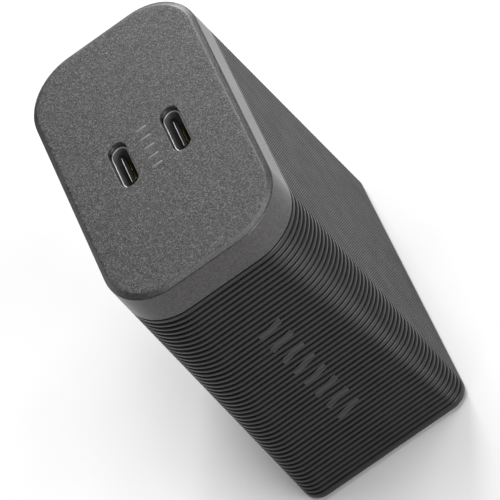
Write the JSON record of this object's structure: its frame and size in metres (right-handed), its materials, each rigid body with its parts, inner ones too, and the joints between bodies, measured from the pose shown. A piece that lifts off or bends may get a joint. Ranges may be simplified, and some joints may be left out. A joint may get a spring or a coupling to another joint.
{
  "type": "usb wall charger",
  "caption": "Compact wall charger: a ribbed box-shaped case with rounded corners, a smooth cap with paired USB-C sockets, and mains blades that fold into its plug end.",
  "frame": {"origin": "centre of the case's outline on the plane of the plug end", "axes": "+Z along the case from the plug end to the port face, X across the narrow sides, Y across the wide sides, -Y is the wide side with the moulded marks"},
  "size_m": [0.0306, 0.0548, 0.0585],
  "materials": {
    "case_plastic": "fine moulded ribs, satin",
    "cap_plastic": "satin metallic fleck",
    "printed_ink": "printed",
    "plate_plastic": "fine spark texture",
    "inner_plastic": "natural",
    "plain_steel": "turned",
    "blade_plating": "nickel-plated",
    "carrier_plastic": "smooth",
    "spring_bronze": "rolled",
    "shell_steel": "drawn",
    "tongue_plastic": "smooth",
    "contact_gold": "gold flash",
    "board_laminate": "solder mask",
    "fuse_ceramic": "matt",
    "x_capacitor_case": "moulded",
    "ferrite": "ground",
    "copper_wire": "enamelled",
    "y_capacitor_coating": "dipped",
    "chip_plastic": "moulded",
    "can_aluminium": "drawn",
    "sleeve_film": "shrunk",
    "bobbin_plastic": "moulded",
    "winding_tape": "taped",
    "thermal_silicone": "soft",
    "spreader_aluminium": "rolled",
    "insulating_film": "film"
  },
  "bodies": {
    "charger": {"ribbed_housing": "case_plastic", "port_cap": "cap_plastic", "port_mark": "printed_ink", "plug_end_plate": "plate_plastic", "pivot_retainer": "inner_plastic", "retainer_screws": "plain_steel", "detent_spring": "spring_bronze", "line_contact": "spring_bronze", "neutral_contact": "spring_bronze", "usb_c_shell_left": "shell_steel", "usb_c_shell_right": "shell_steel", "usb_c_tongue_left": "tongue_plastic", "usb_c_tongue_right": "tongue_plastic", "usb_c_contacts_left": "contact_gold", "usb_c_contacts_right": "contact_gold", "input_board": "board_laminate", "main_board": "board_laminate", "port_board": "board_laminate", "board_link_pins": "contact_gold", "input_fuse": "fuse_ceramic", "x_capacitor": "x_capacitor_case", "choke_core": "ferrite", "choke_windings": "copper_wire", "y_capacitors": "y_capacitor_coating", "bridge_rectifier": "chip_plastic", "bulk_capacitor_cans": "can_aluminium", "bulk_capacitor_sleeves": "sleeve_film", "power_transistors": "chip_plastic", "controller_chips": "chip_plastic", "optocoupler": "chip_plastic", "transformer_core": "ferrite", "transformer_bobbin": "bobbin_plastic", "transformer_winding": "winding_tape", "output_capacitors": "can_aluminium", "output_inductors": "ferrite", "thermal_pad": "thermal_silicone", "heat_spreader": "spreader_aluminium", "insulating_sheet": "insulating_film"},
    "prongs": {"line_blade": "blade_plating", "neutral_blade": "blade_plating", "blade_carrier": "carrier_plastic", "pivot_pins": "plain_steel"}
  },
  "joints": [
    {"name": "prong_fold", "type": "hinge", "parent": "charger", "child": "prongs", "pos_m": [0, -0.009, 0.0036], "axis": [-1, 0, 0], "range_deg": [0, 90]}
  ]
}
